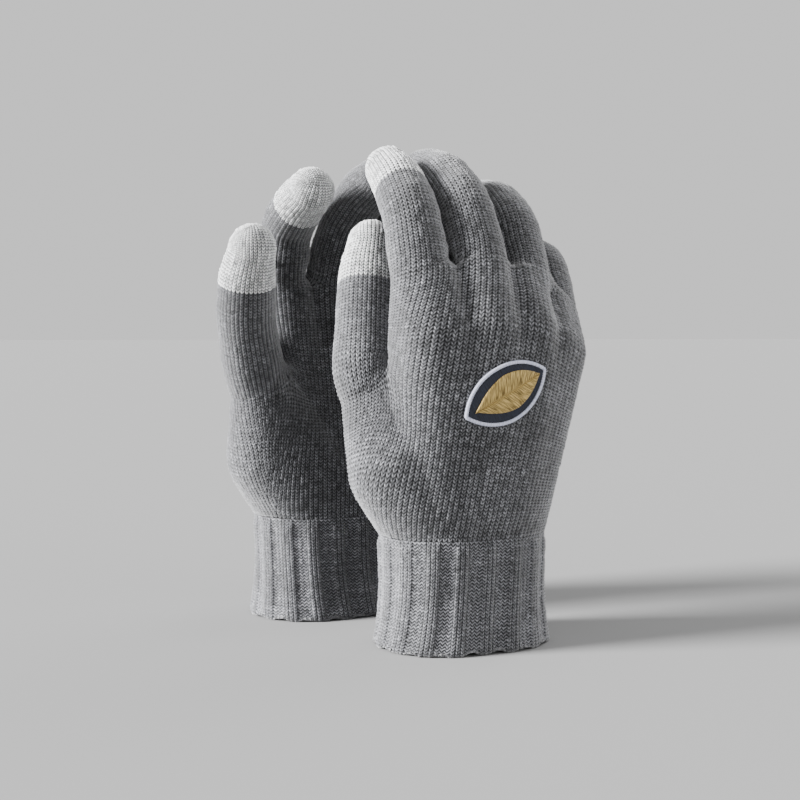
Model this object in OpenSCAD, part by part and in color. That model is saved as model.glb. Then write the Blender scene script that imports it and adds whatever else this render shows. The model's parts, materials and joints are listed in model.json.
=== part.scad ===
// A pair of knitted gloves with conductive thumb and index tips, standing on
// their cuffs palm to palm. Each glove is a ribbed cuff, a hollow hand and five
// stalls; every stall has two folds, at its root and halfway up.
// One glove's own frame: +X to the little finger, +Y out of the palm, +Z up,
// with the origin under the wrist at the cuff's rim.

/* [Pair] */
// Distance between the wrists, palm to palm
pair_gap = 86; // [86:0.5:140]
// How far the left glove stands towards the thumb side of the right one
pair_shift = 27.5; // [20:0.5:34]
// Turn of each glove about its wrist, little finger side inwards
toe_in = 2; // [0:0.5:3]

/* [Cuff] */
// Width of the cuff across the wrist
cuff_w = 71; // [64:0.5:76]
// Depth of the cuff from back to palm
cuff_d = 54; // [46:0.5:58]
// Height of the ribbed cuff
cuff_h = 46; // [30:1:56]
// Number of elastic threads laid in the cuff
elastic_rows = 6; // [3:1:10]

/* [Fabric] */
// Thickness of the knit
wall = 2; // [1.5:0.1:2.2]
// Length of fabric that bends either side of a fold's centre
fold_half = 7; // [6:0.5:7.5]
// Length of fabric that bends either side of the set curve under a fingertip
curve_half = 4; // [2.5:0.5:4.5]

/* [Hand] */
// Centres of the knuckles: across, towards the palm, up
index_knuckle = [-18.5, -13, 127]; // [-50:0.5:150]
middle_knuckle = [4.5, -16, 131]; // [-50:0.5:150]
ring_knuckle = [26, -13, 129]; // [-50:0.5:150]
little_knuckle = [42.5, -6, 121]; // [-50:0.5:150]
// Centre of the ball of the thumb
thumb_ball = [-23.5, 5, 75]; // [-50:0.5:150]
// Radius of the ball of the thumb
thumb_ball_r = 20; // [17:0.5:21]
// Radius of the hand over its knuckles
knuckle_r = 13.5; // [12:0.5:14.5]
// Aim of each digit at its knuckle: splay across, lean to the palm, turn of its curl
index_aim = [-5, 15, 0]; // [-30:1:70]
middle_aim = [0, 20, 0]; // [-30:1:70]
ring_aim = [5, 28, 0]; // [-30:1:70]
little_aim = [9, 34, 0]; // [-30:1:70]
thumb_aim = [-24, 7, 68]; // [-30:1:70]

/* [Stall lengths] */
// Knuckle to root, root fold to middle fold, middle fold to top curve, curve to tip centre
index_runs = [27, 19, 19, 13]; // [10:0.5:40]
middle_runs = [27, 21, 21, 14]; // [10:0.5:40]
ring_runs = [25, 21, 20, 14]; // [10:0.5:40]
little_runs = [20, 18, 12, 11]; // [10:0.5:40]
thumb_runs = [33, 27, 20, 11.5]; // [10:0.5:40]

/* [Stall radii] */
// Radius at the root, the middle fold, the top curve and the tip
index_radii = [12.1, 11.5, 11, 10.4]; // [8:0.1:14]
middle_radii = [11.8, 11.5, 11.1, 10.4]; // [8:0.1:14]
ring_radii = [11.3, 11.1, 10.7, 10]; // [8:0.1:14]
little_radii = [10.6, 10.3, 9.8, 9.2]; // [8:0.1:14]
thumb_radii = [13.2, 12.5, 12.1, 11.6]; // [8:0.1:14]

/* [Curl at rest] */
// Right glove: sideways lean, then bends at the root, the middle and the top
right_index_rest = [3, 3, 26, 14]; // [-20:1:60]
right_middle_rest = [-5, 3, 30, 16]; // [-20:1:60]
right_ring_rest = [0, 4, 26, 16]; // [-20:1:60]
right_little_rest = [2, 2, 30, 14]; // [-20:1:60]
right_thumb_rest = [0, 34, 0, 6]; // [-20:1:60]
// Left glove: sideways lean, then bends at the root, the middle and the top
left_index_rest = [6, 2, 44, 10]; // [-20:1:60]
left_middle_rest = [7, 6, 30, 16]; // [-20:1:60]
left_ring_rest = [3, -16, 22, 14]; // [-20:1:60]
left_little_rest = [7, -20, 22, 14]; // [-20:1:60]
left_thumb_rest = [-10, 12, 10, 8]; // [-20:1:60]

/* [Patch] */
// Length of the embroidered leaf
leaf_l = 33; // [24:0.5:34]
// Width of the embroidered leaf
leaf_w = 15; // [10:0.5:16]
// Tilt of the leaf on the back of the hand
leaf_tilt = 28; // [0:1:60]
// Centre of the patch: across, and up from the rim
patch_at = [7, 105]; // [0:0.5:110]

/* [Hidden] */
$fn = 48;
HULL_FN = 24;        // facets of the shapes inside a hull
CURVE_STEPS = 3;     // straight steps round the curve under a fingertip
SLICE_H = 0.4;       // thickness of a cross-section that a hull starts from
EPS = 0.1;           // lets a cutter pass a face
TINY_BEND = 0.5;     // a fold bent less than this is made straight
PATCH_H = 1;         // thickness of the patch under its leaf
GROUND_MARGIN = 2.5; // dark ground showing round the leaf
BORDER_W = 2;        // width of the patch's edging

YARN = "#7d8085";
TIP_YARN = "#dcdcd6";
ELASTIC = "#e9e6de";
LABEL = "#f4f2ec";
NAVY = "#1d2436";
GOLD = "#b8934a";
PALE = "#dcdff0";

SIDES = ["right", "left"];
DIGITS = ["index", "middle", "ring", "little", "thumb"];
CAPPED = ["index", "thumb"];     // the stalls that end in conductive yarn

// The whole pair's box is centred on the origin by this shift of the right wrist.
RIGHT_WRIST = [12.9, -43];
LEFT_WRIST = RIGHT_WRIST + [-pair_shift, pair_gap];

// One row for each digit: knuckle, aim, runs and radii
function digit_row(d) =
    d == "index" ? [index_knuckle, index_aim, index_runs, index_radii] :
    d == "middle" ? [middle_knuckle, middle_aim, middle_runs, middle_radii] :
    d == "ring" ? [ring_knuckle, ring_aim, ring_runs, ring_radii] :
    d == "little" ? [little_knuckle, little_aim, little_runs, little_radii] :
    [thumb_ball, thumb_aim, thumb_runs, thumb_radii];

function rest(side, d) =
    side == "right" ? (
        d == "index" ? right_index_rest : d == "middle" ? right_middle_rest :
        d == "ring" ? right_ring_rest : d == "little" ? right_little_rest :
        right_thumb_rest) : (
        d == "index" ? left_index_rest : d == "middle" ? left_middle_rest :
        d == "ring" ? left_ring_rest : d == "little" ? left_little_rest :
        left_thumb_rest);

function knuckle(d) = digit_row(d)[0];
function aim(d) = digit_row(d)[1];
function runs(d) = digit_row(d)[2];
function radii(d) = digit_row(d)[3];
function capped(d) = len([for (c = CAPPED) if (c == d) c]) > 0;

HAND_PARTS = ["cuff", "cuff_elastic", "care_label", "hand",
              "patch_border", "patch_ground", "patch_leaf"];
STALL_PARTS = ["root_fold", "lower", "middle_fold", "upper"];

// ---- places -------------------------------------------------------------

module in_glove(side) {
    if (side == "right")
        translate([RIGHT_WRIST.x, RIGHT_WRIST.y, 0]) rotate([0, 0, -toe_in]) children();
    else
        translate([LEFT_WRIST.x, LEFT_WRIST.y, 0]) rotate([0, 0, toe_in])
            mirror([0, 1, 0]) children();
}

// Frames along a digit: Z runs along it, Y is the side it curls to.
module from_knuckle(d) {
    a = aim(d);
    translate(knuckle(d)) rotate([0, a[0], 0]) rotate([-a[1], 0, 0])
        rotate([0, 0, -a[2]]) children();
}

module at_root(d) {
    from_knuckle(d) translate([0, 0, runs(d)[0]]) children();
}

module at_root_fold(d) {
    at_root(d) translate([0, 0, fold_half]) children();
}

module along_lower(side, d) {
    r = rest(side, d);
    at_root_fold(d) rotate([0, r[0], 0]) rotate([-r[1], 0, 0]) children();
}

module at_middle_fold(side, d) {
    along_lower(side, d) translate([0, 0, runs(d)[1]]) children();
}

module along_upper(side, d) {
    at_middle_fold(side, d) rotate([-rest(side, d)[2], 0, 0]) children();
}

module at_top_curve(side, d) {
    along_upper(side, d) translate([0, 0, runs(d)[2]]) children();
}

module along_top(side, d) {
    at_top_curve(side, d) rotate([-rest(side, d)[3], 0, 0]) children();
}

// ---- fabric shapes ------------------------------------------------------

module stadium(w, d) {
    reach = (w - d) / 2;
    for (x = [-reach, reach]) translate([x, 0]) circle(d = d);
    square([2 * reach, d], center = true);
}

module tube(r1, r2, h) {
    difference() {
        cylinder(r1 = r1, r2 = r2, h = h);
        translate([0, 0, -EPS]) cylinder(r1 = r1 - wall, r2 = r2 - wall, h = h + 2 * EPS);
    }
}

// A tube bent about the point that both its straight ends aim at, which is the
// origin: it comes in along Z and leaves leaning by lean about Y and bend about X.
module bent_tube(r, half, lean, bend) {
    turn = acos(cos(lean) * cos(bend));
    if (turn < TINY_BEND) {
        translate([0, 0, -half]) tube(r, r, 2 * half);
    } else {
        sweep_r = half / tan(turn / 2);
        heading = atan2(sin(lean) * cos(bend), sin(bend));
        rotate([0, 0, -heading]) translate([0, sweep_r, -half]) rotate([90, 0, -90])
            rotate_extrude(angle = turn) translate([sweep_r, 0]) difference() {
                circle(r = r);
                circle(r = r - wall);
            }
    }
}

module slice(r) {
    cylinder(r = r, h = SLICE_H, $fn = HULL_FN);
}

// ---- cuff ---------------------------------------------------------------

module cuff() {
    color(YARN) linear_extrude(height = cuff_h) difference() {
        stadium(cuff_w, cuff_d);
        stadium(cuff_w - 2 * wall, cuff_d - 2 * wall);
    }
}

module cuff_elastic() {
    thread = 0.6;
    slack = 0.3;
    inner_w = cuff_w - 2 * (wall + slack);
    inner_d = cuff_d - 2 * (wall + slack);
    pitch = cuff_h / (elastic_rows + 1);
    color(ELASTIC) for (row = [1:elastic_rows]) translate([0, 0, row * pitch])
        linear_extrude(height = thread) difference() {
            stadium(inner_w, inner_d);
            stadium(inner_w - 2 * thread, inner_d - 2 * thread);
        }
}

module care_label() {
    size = [16, 0.5, 24];
    stand_off = 2.2;
    below_hand = 3;
    color(LABEL) translate([0, cuff_d / 2 - wall - stand_off, cuff_h - size.z / 2 - below_hand])
        cube(size, center = true);
}

// ---- hand ---------------------------------------------------------------

// A thin slice of the hand where it meets the cuff
module wrist_slice(inset) {
    slice_h = 1;
    step = inset > 0 ? inset + EPS : 0;
    translate([0, 0, cuff_h - step]) linear_extrude(height = slice_h + step)
        stadium(cuff_w - 2 * inset, cuff_d - 2 * inset, $fn = HULL_FN);
}

// The ball over a digit's knuckle and the disc that its stall starts from
module digit_mass(d, ball_r, inset) {
    disc_h = 2;
    spare = 0.5;
    top = inset > 0 ? -inset : spare;
    translate(knuckle(d)) sphere(r = ball_r - inset, $fn = HULL_FN);
    at_root(d) translate([0, 0, top - disc_h])
        cylinder(r = radii(d)[0] - inset, h = disc_h, $fn = HULL_FN);
}

// The palm, finger by finger, and the ball of the thumb, shrunk by inset
module hand_form(inset) {
    for (i = [0:2]) hull() {
        wrist_slice(inset);
        digit_mass(DIGITS[i], knuckle_r, inset);
        digit_mass(DIGITS[i + 1], knuckle_r, inset);
    }
    hull() {
        wrist_slice(inset);
        digit_mass("thumb", thumb_ball_r, inset);
    }
}

// Room beside the palm for the thumb, which leans over it at rest
module thumb_room(side) {
    clearance = 0.4;
    r = radii("thumb")[0] + clearance;
    hull() {
        at_root("thumb") slice(r);
        along_lower(side, "thumb") translate([0, 0, fold_half]) slice(r);
    }
    along_lower(side, "thumb") translate([0, 0, fold_half])
        cylinder(r = r, h = runs("thumb")[1] - 2 * fold_half, $fn = HULL_FN);
}

module hand(side) {
    clearance = 1;
    lip = 0.3;
    color(YARN) difference() {
        hand_form(0);
        hand_form(wall);
        thumb_room(side);
        for (d = DIGITS) at_root(d) {
            translate([0, 0, -2 * wall])
                cylinder(r = radii(d)[0] - wall - lip, h = 3 * wall, $fn = HULL_FN);
            cylinder(r = radii(d)[0] + clearance, h = 2 * fold_half, $fn = HULL_FN);
        }
    }
}

// ---- stalls -------------------------------------------------------------

module root_fold(side, d) {
    r = rest(side, d);
    color(YARN) at_root_fold(d) bent_tube(radii(d)[0], fold_half, r[0], r[1]);
}

module lower(side, d) {
    color(YARN) along_lower(side, d) translate([0, 0, fold_half])
        tube(radii(d)[0], radii(d)[1], runs(d)[1] - 2 * fold_half);
}

module middle_fold(side, d) {
    color(YARN) at_middle_fold(side, d)
        bent_tube(radii(d)[1], fold_half, 0, rest(side, d)[2]);
}

// The tube's section after i steps round the set curve under the fingertip
module curve_slice(side, d, i, r) {
    bend = rest(side, d)[3];
    sweep_r = curve_half / tan(bend / 2);
    at_top_curve(side, d) translate([0, sweep_r, -curve_half])
        rotate([-bend * i / CURVE_STEPS, 0, 0]) translate([0, -sweep_r, 0]) slice(r);
}

// The curve and the domed fingertip, shrunk by inset and reaching down by reach
module tip_form(side, d, inset, reach) {
    r = radii(d)[2] - inset;
    for (i = [0:CURVE_STEPS - 1]) hull() {
        curve_slice(side, d, i, r);
        curve_slice(side, d, i + 1, r);
        if (i == 0) along_upper(side, d)
            translate([0, 0, runs(d)[2] - curve_half - reach]) slice(r);
    }
    hull() {
        curve_slice(side, d, CURVE_STEPS, r);
        along_top(side, d) translate([0, 0, runs(d)[3]])
            sphere(r = radii(d)[3] - inset, $fn = HULL_FN);
    }
}

module upper_form(side, d, inset, reach) {
    along_upper(side, d) hull() {
        translate([0, 0, fold_half - reach]) slice(radii(d)[1] - inset);
        translate([0, 0, runs(d)[2] - curve_half]) slice(radii(d)[2] - inset);
    }
    tip_form(side, d, inset, 0);
}

module upper(side, d) {
    color(YARN) if (capped(d)) {
        along_upper(side, d) translate([0, 0, fold_half])
            tube(radii(d)[1], radii(d)[2], runs(d)[2] - fold_half - curve_half);
    } else difference() {
        upper_form(side, d, 0, 0);
        upper_form(side, d, wall, EPS);
    }
}

module conductive_tip(side, d) {
    color(TIP_YARN) difference() {
        tip_form(side, d, 0, 0);
        tip_form(side, d, wall, EPS);
    }
}

// ---- patch --------------------------------------------------------------

// A pointed oval, from two arcs.
module leaf_outline(l, w) {
    arc_r = (l * l + w * w) / (4 * w);
    intersection_for (s = [-1, 1]) translate([0, s * (arc_r - w / 2)]) circle(r = arc_r, $fn = 96);
}

// A plane against the highest part of the back of the hand
module on_back(lift) {
    back_y = -29;
    turn = 2.4;
    lean = 1.1;
    translate([patch_at.x, back_y, patch_at.y]) rotate([90 + lean, 0, turn])
        rotate([0, 0, leaf_tilt]) translate([0, 0, lift]) children();
}

// The leaf's outline grown by margin at its tips and on both sides
module leaf_grown(margin) {
    leaf_outline(leaf_l + 2 * margin, leaf_w + 2 * margin);
}

module patch_border() {
    color(PALE) on_back(0) linear_extrude(height = PATCH_H) difference() {
        leaf_grown(GROUND_MARGIN + BORDER_W);
        leaf_grown(GROUND_MARGIN);
    }
}

module patch_ground() {
    color(NAVY) on_back(0) linear_extrude(height = PATCH_H) leaf_grown(GROUND_MARGIN - EPS);
}

module patch_leaf() {
    leaf_h = 0.7;
    vein = [leaf_l * 0.8, 0.8];
    color(GOLD) on_back(PATCH_H) linear_extrude(height = leaf_h) difference() {
        leaf_outline(leaf_l, leaf_w);
        square(vein, center = true);
    }
}

// ---- nodes --------------------------------------------------------------

for (side = SIDES) in_glove(side) {
    cuff();
    cuff_elastic();
    care_label();
    hand(side);
    patch_border();
    patch_ground();
    patch_leaf();
    for (d = DIGITS) {
        root_fold(side, d);
        lower(side, d);
        middle_fold(side, d);
        upper(side, d);
    }
    for (d = CAPPED)
        conductive_tip(side, d);
}
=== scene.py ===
"""A pair of knitted touchscreen gloves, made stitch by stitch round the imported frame.

Lengths inside the geometry code are millimetres in one glove's own frame: +X to the little
finger, +Y out of the palm, +Z up, origin under the wrist. place() takes them to the pair's
frame in metres, and mirrors them for the left glove.
"""

import json
import math

import bmesh
import bpy
import numpy as np
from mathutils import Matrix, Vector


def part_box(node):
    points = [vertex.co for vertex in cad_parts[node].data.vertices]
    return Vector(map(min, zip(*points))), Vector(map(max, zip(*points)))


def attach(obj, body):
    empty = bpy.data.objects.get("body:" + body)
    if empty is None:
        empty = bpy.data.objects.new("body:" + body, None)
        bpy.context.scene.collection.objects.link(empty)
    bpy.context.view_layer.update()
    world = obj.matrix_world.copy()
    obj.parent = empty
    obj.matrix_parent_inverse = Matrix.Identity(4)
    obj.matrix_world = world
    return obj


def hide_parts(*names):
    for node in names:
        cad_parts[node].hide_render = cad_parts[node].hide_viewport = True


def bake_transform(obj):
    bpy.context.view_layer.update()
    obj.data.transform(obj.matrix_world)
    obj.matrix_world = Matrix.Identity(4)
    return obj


MM = 0.001
SIDES = ("right", "left")

# ---- the gloves' own measures, as in the CAD model -----------------------------------
# (the ball of the thumb is rounder here, where the fabric fills out)

CUFF_W, CUFF_D, CUFF_H = 71.0, 54.0, 46.0
FOLD_HALF, CURVE_HALF = 7.0, 4.0
KNUCKLE_R, BALL_R, EDGE_R = 13.5, 22.0, 11.5
BALL_SHIFT = np.array([-3.2, -4.0, -2.0])
TOE_IN = 2.0
PATCH_AT, PATCH_Y = (7.0, 105.0), -29.0
PATCH_TURN, PATCH_LEAN, LEAF_TILT = 2.4, 1.1, 28.0
LEAF_L, LEAF_W = 33.0, 15.0
GROUND_EXTRA, BORDER_EXTRA = 5, 7      # how much longer and wider than the leaf each one is
GROUND_LIFT, BORDER_LIFT, LEAF_LIFT = 1.0, 0.75, 1.25
BORDER_R, BORDER_WIND, BORDER_STEPS = 0.72, 0.1, 300   # the border's cord, wound with thread

# digit: knuckle, (splay, lean, roll), runs between bends, radii at each bend
DIGITS = {
    "thumb": ((-23.5, 5, 75), (-24, 7, 68), (33, 27, 20, 11.5), (13.2, 12.5, 12.1, 11.6)),
    "index": ((-18.5, -13, 127), (-5, 15, 0), (27, 19, 19, 13), (12.1, 11.5, 11, 10.4)),
    "middle": ((4.5, -16, 131), (0, 20, 0), (27, 21, 21, 14), (11.8, 11.5, 11.1, 10.4)),
    "ring": ((26, -13, 129), (5, 28, 0), (25, 21, 20, 14), (11.3, 11.1, 10.7, 10)),
    "little": ((42.5, -6, 121), (9, 34, 0), (20, 18, 12, 11), (10.6, 10.3, 9.8, 9.2)),
}
ORDER = list(DIGITS)
# sideways lean, then bends at the root, the middle and the top
REST = {
    "right": {"thumb": (0, 34, 0, 6), "index": (3, 3, 26, 14), "middle": (-5, 3, 30, 16),
              "ring": (0, 4, 26, 16), "little": (2, 2, 30, 14)},
    "left": {"thumb": (-10, 12, 10, 8), "index": (6, 2, 44, 10), "middle": (7, 6, 30, 16),
             "ring": (3, -16, 22, 14), "little": (7, -20, 22, 14)},
}

# ---- the knit -----------------------------------------------------------------------

WALES = {"thumb": 40, "index": 36, "middle": 36, "ring": 34, "little": 32}
CROTCH = 7                 # wales in each side of a stall, between back and palm
TWIST = 4                  # wales that the hand's knit turns by, from the wrist up
COURSE = 1.4               # height of a stitch
HAND_ROWS = {"thumb": 40, "index": 78, "middle": 78, "ring": 78, "little": 78}
RIB_WALES, RIB_REPEAT = 102, 6         # wales round the cuff, and in one rib and groove
ELASTIC_ROUNDS, ELASTIC_STEPS, ELASTIC_SIDES = 6, 360, 8
ELASTIC_R = 0.35
HEM_SHORT, HEM_SHORT_ROWS = 9, 4       # how much shorter the cuff's inner layer is
RIM_R = 1.1                # radius of the cuff's turned-in rim
CUFF_STAND, CUFF_FLARE, CUFF_WAIST = 0.35, 2.0, 0.9    # the cuff's shape over the wrist
DRIFT_TOP, DRIFT = 0.25, 1.5           # wales that the ribs turn by, at the hand and below
SUB = 4                    # mesh columns in a wale; a course has two mesh rows
RIB_END = 5.0              # height over which the ribs die out under the hand
YARN_H = 0.46              # how far a stitch's legs stand out
WRIST_PINCH = 1.0          # how much the first courses of the hand draw in to the cuff
SETTLE_ROWS = 9            # courses above each root that settle with the hand
SETTLE_STEPS, SETTLE_PULL = 70, 0.65
ROOT_HELD = 3.5            # length above a root at which a point on the stall's axis is taken
SEAM_ANGLE = math.radians(52)          # how far the closing seam runs from the fingertip's top
MARL_GAP = 7               # wales between two stalls' places in the marl's pattern
TIP_STARTS = {("right", "thumb"): -2}      # courses that a pale tip starts away from its bend
PALM_FILLET, FINGER_FILLET, THUMB_FILLET, OWN_FILLET = 4, 7, 12, 0.5
STALL_REACH = 40           # length of each stall that shapes the net round its root
TAPER = {"thumb": 0.14, "index": 0.06, "middle": 0.08, "ring": 0.08, "little": 0.08}
TAPER_RUN = 16.0
VALLEY_DEPTH, VALLEY_W = 3.6, 4.2
VALLEY_REACH = 0.9         # how far a valley runs on below the knuckles, in knuckle runs


def turn(axis, degrees):
    c, s = math.cos(math.radians(degrees)), math.sin(math.radians(degrees))
    i, j = [(1, 2), (2, 0), (0, 1)]["xyz".index(axis)]
    m = np.eye(3)
    m[i, i] = m[j, j] = c
    m[i, j], m[j, i] = -s, s
    return m


def unit(v):
    return v / np.maximum(np.linalg.norm(v, axis=-1, keepdims=True), 1e-9)


def slerp(m, t):
    """The rotation m taken only t of the way."""
    angle = math.acos(np.clip((np.trace(m) - 1) / 2, -1, 1))
    if angle < 1e-6:
        return np.eye(3)
    axis = np.array([m[2, 1] - m[1, 2], m[0, 2] - m[2, 0], m[1, 0] - m[0, 1]])
    k = np.cross(np.eye(3), axis / (2 * math.sin(angle)))
    return np.eye(3) + math.sin(t * angle) * k + (1 - math.cos(t * angle)) * (k @ k)


def digit_path(side, digit):
    """Stations up a stall from its root: arrays of arc length, centre, axes and radius, with
    the arc lengths of its landmarks."""
    knuckle, (splay, lean, roll), runs, radii = DIGITS[digit]
    side_lean, bend1, bend2, bend3 = REST[side][digit]
    axes = turn("y", splay) @ turn("x", -lean) @ turn("z", -roll)
    at = np.array(knuckle, float) + axes[:, 2] * runs[0]
    legs = [
        ("arc", FOLD_HALF, turn("y", side_lean) @ turn("x", -bend1), radii[0], radii[0]),
        ("run", runs[1] - 2 * FOLD_HALF, None, radii[0], radii[1]),
        ("arc", FOLD_HALF, turn("x", -bend2), radii[1], radii[1]),
        ("run", runs[2] - FOLD_HALF - CURVE_HALF, None, radii[1], radii[2]),
        ("arc", CURVE_HALF, turn("x", -bend3), radii[2], radii[2]),
        ("run", runs[3] - CURVE_HALF, None, radii[2], radii[3]),
    ]
    stations, s, marks = [(0.0, at, axes, radii[0])], 0.0, [0.0]
    for kind, length, m, ra, rb in legs:
        steps = 14
        if kind == "run":
            for i in range(1, steps + 1):
                t = i / steps
                stations.append((s + length * t, at + axes[:, 2] * length * t, axes,
                                 ra + (rb - ra) * t))
            at, s = at + axes[:, 2] * length, s + length
        else:
            z0, z1 = axes[:, 2], (axes @ m)[:, 2]
            angle = math.acos(np.clip(z0 @ z1, -1, 1))
            r = length / math.tan(angle / 2) if angle > 1e-4 else 0
            arc = r * angle if r else 2 * length
            y0 = unit(z1 - z0 * (z0 @ z1))
            for i in range(1, steps + 1):
                t = i / steps
                if r:
                    p = at + r * (math.sin(t * angle) * z0 + (1 - math.cos(t * angle)) * y0)
                else:
                    p = at + z0 * arc * t
                stations.append((s + arc * t, p, axes @ slerp(m, t), ra))
            at, s, axes = p, s + arc, axes @ m
        marks.append(s)
    return {
        "s": np.array([x[0] for x in stations]), "at": np.array([x[1] for x in stations]),
        "axes": np.array([x[2] for x in stations]), "r": np.array([x[3] for x in stations]),
        "marks": marks,
    }


def ring_frame(path, s):
    s = min(s, path["s"][-1])
    i = int(np.clip(np.searchsorted(path["s"], s) - 1, 0, len(path["s"]) - 2))
    t = (s - path["s"][i]) / max(path["s"][i + 1] - path["s"][i], 1e-9)

    def mix(k):
        return path[k][i] * (1 - t) + path[k][i + 1] * t

    return mix("at"), mix("axes"), mix("r")


def line_angles(digit):
    """The angle round the stall of each line between wales, from the back's thumb edge."""
    n = WALES[digit]
    step = 360 / n
    return 180 + CROTCH / 2 * step + np.arange(n) * step + DIGITS[digit][1][2]


def stall_rings(path, digit, rows_up):
    """Points of the courses up a stall: its tube and the flat-closed end over its dome."""
    n = WALES[digit]
    phi = np.radians(line_angles(digit))
    length = path["marks"][-1]
    tube_rows = max(int(round(length / COURSE)), 1)
    dome_rows = rows_up - tube_rows
    roll = math.radians(DIGITS[digit][1][2])
    flat = phi - roll
    # where each line ends on the closing seam, as an angle from the fingertip's top
    share = 1 - 2 * np.abs((np.degrees(flat) + 180) % 360 - 180) / 180
    seam = SEAM_ANGLE * share
    start = np.stack([np.cos(flat), np.sin(flat), np.zeros(n)], 1)
    end = np.stack([np.sin(seam), np.zeros(n), np.cos(seam)], 1)
    angle = np.arccos(np.clip((start * end).sum(1), -1, 1))[:, None]
    unroll = turn("z", DIGITS[digit][1][2])
    rings = []
    for row in range(rows_up + 1):
        s = min(row, tube_rows) / tube_rows * length
        at, axes, r = ring_frame(path, s)
        r = r * (1 - TAPER[digit] * smooth((s - length + TAPER_RUN) / TAPER_RUN))
        t = max(row - tube_rows, 0) / dome_rows
        ball = (np.sin((1 - t) * angle) * start + np.sin(t * angle) * end) / np.sin(angle)
        ball = (ball * (r, r, path["r"][-1])) @ unroll.T
        rings.append(at + ball @ axes.T)
    return np.array(rings), tube_rows


def wrist_point(f):
    """A point of the wrist's outline a fraction f of the way round from the thumb side, by
    the back."""
    reach, r = (CUFF_W - CUFF_D) / 2, CUFF_D / 2
    half_arc, flat = math.pi * r, 2 * reach
    d = (f % 1.0) * 2 * (half_arc + flat)
    if d < half_arc / 2:
        a = math.pi + d / r
        return np.array([-reach + r * math.cos(a), r * math.sin(a)])
    d -= half_arc / 2
    if d < flat:
        return np.array([-reach + d, -r])
    d -= flat
    if d < half_arc:
        a = 1.5 * math.pi + d / r
        return np.array([reach + r * math.cos(a), r * math.sin(a)])
    d -= half_arc
    if d < flat:
        return np.array([reach - d, r])
    a = math.pi / 2 + (d - flat) / r
    return np.array([-reach + r * math.cos(a), r * math.sin(a)])


def pinched(p):
    """A point of the wrist's outline drawn in to where the hand meets the cuff."""
    return p * (1 - WRIST_PINCH / 2 / np.linalg.norm(p))


# ---- the hand's form: a smooth distance field ----------------------------------------

def ball_points(count):
    """Points spread evenly over a ball of radius 1."""
    i = np.arange(count) + 0.5
    z = 1 - 2 * i / count
    a = i * math.pi * (3 - math.sqrt(5))
    r = np.sqrt(1 - z * z)
    return np.stack([r * np.cos(a), r * np.sin(a), z], 1)


def hull_planes(digits):
    """The faces of the hull of the wrist and these digits' knuckles and roots, as normals
    and distances from the origin."""
    ring = np.array([wrist_point(f) for f in np.arange(72) / 72])
    points = [np.column_stack([ring, np.full(len(ring), CUFF_H)])]
    for digit in digits:
        knuckle, (splay, lean, _), runs, radii = DIGITS[digit]
        axes = turn("y", splay) @ turn("x", -lean)
        centre = np.array(knuckle, float)
        turns = np.arange(36) / 36 * 2 * math.pi
        disc = np.column_stack([np.cos(turns), np.sin(turns), np.zeros(36)]) * radii[0]
        points.append(centre + (disc + (0, 0, runs[0] + 0.5)) @ axes.T)
        if digit == "thumb":
            centre = centre + BALL_SHIFT
        ball = {"thumb": BALL_R, "little": EDGE_R}.get(digit, KNUCKLE_R)
        points.append(centre + ball_points(320) * ball)
    mesh = bmesh.new()
    for p in np.vstack(points):
        mesh.verts.new(p)
    bmesh.ops.convex_hull(mesh, input=mesh.verts)
    planes = np.array([(*f.normal, f.normal.dot(f.verts[0].co)) for f in mesh.faces])
    mesh.free()
    middle = np.vstack(points).mean(0)
    inward = planes[:, :3] @ middle > planes[:, 3]
    planes[inward] *= -1
    planes = planes[np.linalg.norm(planes[:, :3], axis=1) > 0.5]
    # one of each group of faces that lie nearly in one plane is enough
    _, kept = np.unique(np.round(planes, 2), axis=0, return_index=True)
    return planes[kept].astype(np.float32)


HULLS = [hull_planes(ORDER[i:i + 2]) for i in (1, 2, 3)] + [hull_planes(["thumb"])]


def hull_distance(p, planes):
    """Distance and normal, then the distance to the faces that don't face up."""
    d = p.astype(np.float32) @ planes[:, :3].T - planes[:, 3]
    k = d.argmax(1)
    side = d[:, planes[:, 2] < 0.5].max(1)
    return d[np.arange(len(p)), k].astype(float), planes[k, :3].astype(float), side


def tube_distance(p, path, up_to):
    """Distance to a stall's surface, from the stations below arc length up_to."""
    keep = path["s"] <= up_to
    c, r = path["at"][keep][::2], path["r"][keep][::2]
    a, b = c[:-1], c[1:]
    ab = b - a
    t = np.clip(((p[:, None] - a) * ab).sum(2) / (ab * ab).sum(1), 0, 1)
    off = p[:, None] - a - t[..., None] * ab
    dist = np.linalg.norm(off, axis=2)
    d = dist - (r[:-1] + (r[1:] - r[:-1]) * t)
    k = d.argmin(1)
    i = np.arange(len(p))
    return d[i, k], off[i, k] / np.maximum(dist[i, k], 1e-6)[:, None]


def soft_join(a, b, k, share_of_fillet=1.0):
    """The distance field of two shapes joined with a fillet about k wide."""
    (da, ga), (db, gb) = a, b
    h = np.maximum(k - np.abs(da - db), 0) / k
    share = np.where(da < db, h / 2, 1 - h / 2)[:, None]
    g = ga * (1 - share) + gb * share
    # surfaces that run side by side need no fillet
    apart = np.clip(1 - (ga * gb).sum(1), 0, 1)
    return np.minimum(da, db) - h * h * k / 4 * apart * share_of_fillet, unit(g)


def smooth(t):
    t = np.clip(t, 0, 1)
    return t * t * (3 - 2 * t)


def root_centre(digit):
    knuckle, (splay, lean, _), runs, _ = DIGITS[digit]
    return np.array(knuckle, float) + (turn("y", splay) @ turn("x", -lean))[:, 2] * runs[0]


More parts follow.
